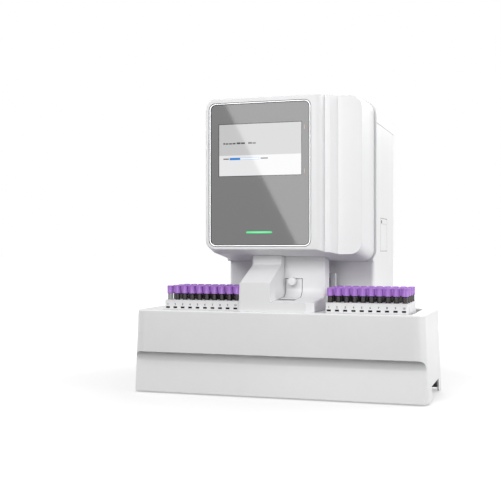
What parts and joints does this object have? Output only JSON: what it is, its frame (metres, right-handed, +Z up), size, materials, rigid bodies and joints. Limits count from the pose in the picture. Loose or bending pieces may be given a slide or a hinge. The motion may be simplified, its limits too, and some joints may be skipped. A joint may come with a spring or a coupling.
{
  "type": "glycohemoglobin analyzer",
  "caption": "Benchtop glycohemoglobin analyzer: tall white head with a glass touch panel over a wide loader with racks of capped blood tubes and a single-tube door.",
  "frame": {"origin": "centre of the footprint, on the surface that the feet stand on", "axes": "+X to the viewer's right, +Y away from the viewer towards the rear panel, +Z up"},
  "size_m": [0.7426, 0.594, 0.75],
  "materials": {
    "white_housing": "fine-textured white moulding",
    "grey_trim": "light grey moulding",
    "sheet_steel": "light grey powder coat",
    "bare_steel": "brushed",
    "rack_plastic": "light grey moulding",
    "tube_clear": "clear tube over dark blood",
    "cap_purple": "purple safety cap",
    "dark_glass": "glossy grey panel",
    "silver_trim": "satin",
    "screen": "lit display",
    "lamp_green": "lit green diffuser",
    "rubber": "black",
    "black_plastic": "black"
  },
  "bodies": {
    "analyzer": {"loader_cover": "white_housing", "loader_chassis": "sheet_steel", "rubber_feet": "rubber", "rack_tray": "grey_trim", "shuttle_rail": "bare_steel", "gripper_rail": "bare_steel", "neck_cover": "white_housing", "sample_seat": "grey_trim", "front_bezel": "white_housing", "glass_trim": "silver_trim", "glass_panel": "dark_glass", "touch_screen": "screen", "status_lamp": "lamp_green", "head_shell": "white_housing", "rim_frame": "grey_trim", "rear_housing": "white_housing", "top_cover": "white_housing", "column_bay": "sheet_steel", "column": "bare_steel", "column_clips": "grey_trim", "rear_panel": "sheet_steel", "power_inlet": "black_plastic", "switch_frame": "black_plastic", "fluid_ports": "grey_trim", "rack_right_1": "rack_plastic", "tubes_right_1": "tube_clear", "caps_right_1": "cap_purple", "rack_right_2": "rack_plastic", "tubes_right_2": "tube_clear", "caps_right_2": "cap_purple", "rack_right_3": "rack_plastic", "tubes_right_3": "tube_clear", "caps_right_3": "cap_purple", "rack_right_4": "rack_plastic", "tubes_right_4": "tube_clear", "caps_right_4": "cap_purple", "rack_left_1": "rack_plastic", "tubes_left_1": "tube_clear", "caps_left_1": "cap_purple", "rack_left_2": "rack_plastic", "tubes_left_2": "tube_clear", "caps_left_2": "cap_purple", "rack_left_3": "rack_plastic", "tubes_left_3": "tube_clear", "caps_left_3": "cap_purple", "rack_left_4": "rack_plastic", "tubes_left_4": "tube_clear", "caps_left_4": "cap_purple"},
    "sample_door": {"sample_door": "white_housing", "sample_door_pin": "bare_steel", "sample_door_knob": "white_housing"},
    "access_door": {"access_door": "white_housing", "door_pins": "bare_steel"},
    "door_lock": {"door_lock": "bare_steel"},
    "power_switch": {"power_switch": "black_plastic"},
    "gripper": {"gripper_arm": "sheet_steel", "gripped_tube": "tube_clear", "gripped_cap": "cap_purple"},
    "lane_shuttle": {"lane_shuttle": "grey_trim"}
  },
  "joints": [
    {"name": "sample_door_hinge", "type": "hinge", "parent": "analyzer", "child": "sample_door", "pos_m": [0.0177, -0.185, 0.2395], "axis": [1, 0, 0], "range_deg": [0, 75]},
    {"name": "access_door_hinge", "type": "hinge", "parent": "analyzer", "child": "access_door", "pos_m": [0.1992, 0.1718, 0.4025], "axis": [0, 0, 1], "range_deg": [0, 100]},
    {"name": "door_lock_turn", "type": "hinge", "parent": "access_door", "child": "door_lock", "pos_m": [0.2006, 0.082, 0.438], "axis": [1, 0, 0], "range_deg": [-90, 0]},
    {"name": "power_switch_rock", "type": "hinge", "parent": "analyzer", "child": "power_switch", "pos_m": [-0.07, 0.278, 0.07], "axis": [1, 0, 0], "range_deg": [-7, 7]},
    {"name": "gripper_lift", "type": "slide", "parent": "analyzer", "child": "gripper", "axis": [0, 0, 1], "range_m": [-0.018, 0.012]},
    {"name": "lane_shuttle_slide", "type": "slide", "parent": "analyzer", "child": "lane_shuttle", "axis": [1, 0, 0], "range_m": [-0.555, 0.014]}
  ]
}
